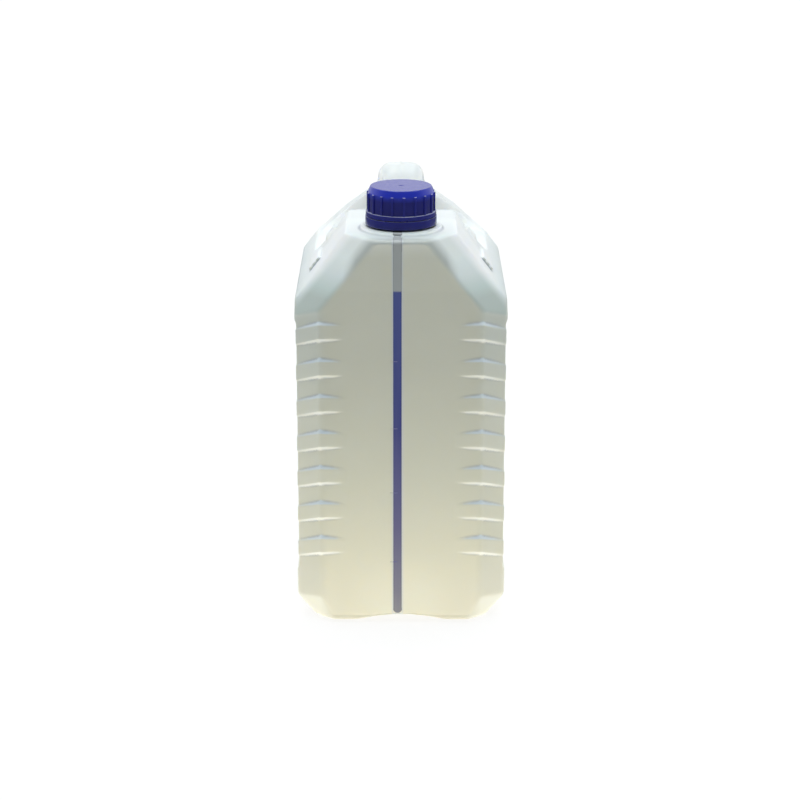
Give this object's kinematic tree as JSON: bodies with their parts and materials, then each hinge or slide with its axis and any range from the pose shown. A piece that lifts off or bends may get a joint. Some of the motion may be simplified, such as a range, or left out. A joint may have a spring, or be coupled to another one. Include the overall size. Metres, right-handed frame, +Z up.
{
  "type": "antifreeze jug",
  "caption": "Blow-moulded coolant jug with a handle moulded through its top, ribbed corners, a clear level stripe and a ribbed screw cap on a tamper ring.",
  "frame": {"origin": "centre of the base, on the ground", "axes": "+Z up; -Y towards the neck and the level stripe; +X to the right as the stripe is faced"},
  "size_m": [0.134, 0.1912, 0.2804],
  "materials": {
    "milky_plastic": "satin, milky",
    "clear_stripe": "satin, clear over the liquid",
    "blue_liquid": "smooth",
    "blue_plastic": "semi-gloss",
    "white_foam": "matt"
  },
  "bodies": {
    "jug": {"jug_body": "milky_plastic", "level_stripe": "clear_stripe", "coolant": "blue_liquid", "tamper_ring": "blue_plastic"},
    "liner": {"cap_liner": "white_foam"},
    "cap": {"screw_cap": "blue_plastic"}
  },
  "joints": [
    {"name": "cap_lift", "type": "slide", "parent": "jug", "child": "liner", "axis": [0, 0, 1], "range_m": [0, 0.01]},
    {"name": "cap_turn", "type": "hinge", "parent": "liner", "child": "cap", "pos_m": [0, -0.057, 0.27], "axis": [0, 0, 1], "range_deg": [0, 900]}
  ],
  "couplings": [
    {"joint": "cap_lift", "follows": "cap_turn", "m_per_rad": 0.00063662}
  ]
}
